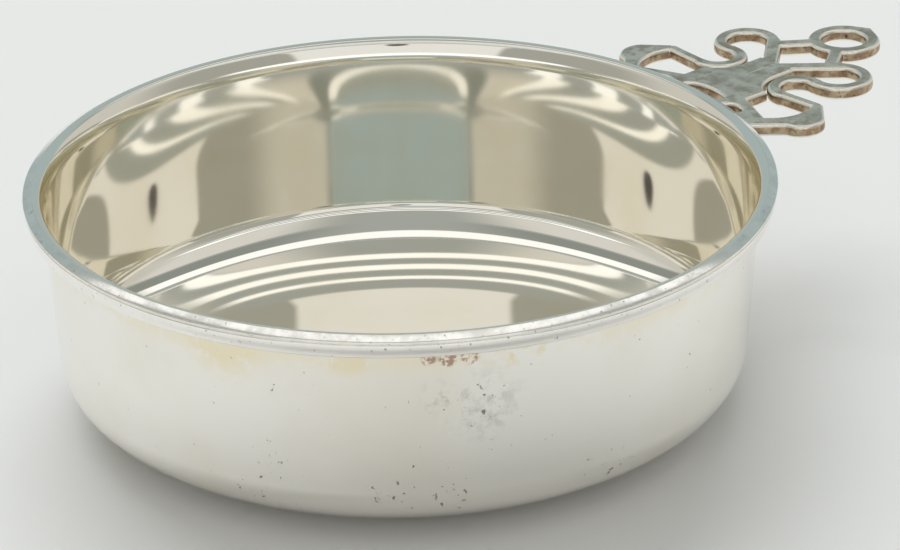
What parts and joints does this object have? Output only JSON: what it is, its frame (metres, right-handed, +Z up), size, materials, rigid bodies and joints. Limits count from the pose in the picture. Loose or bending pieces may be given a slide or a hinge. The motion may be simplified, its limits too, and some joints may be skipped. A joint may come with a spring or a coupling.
{
  "type": "porringer",
  "caption": "Shallow round silver porringer: a bowl with a dished base and upright sides, a moulded rim wire and a flat cast handle pierced with scrolls, loops and an end ring.",
  "frame": {"origin": "middle of the flat base, on the surface that the bowl stands on", "axes": "+Z up along the bowl's axis, +X from the bowl's axis out along the handle"},
  "size_m": [0.1769, 0.127, 0.0405],
  "materials": {
    "bowl_silver": "polished silver with light tarnish",
    "wire_silver": "polished silver with grey tarnish",
    "cast_silver": "cast silver, filed and tarnished in the recesses",
    "solder": "dull silver solder"
  },
  "bodies": {
    "root": {"bowl": "bowl_silver", "rim_wire": "wire_silver", "rim_solder": "solder", "handle": "cast_silver", "handle_solder": "solder"}
  },
  "joints": []
}
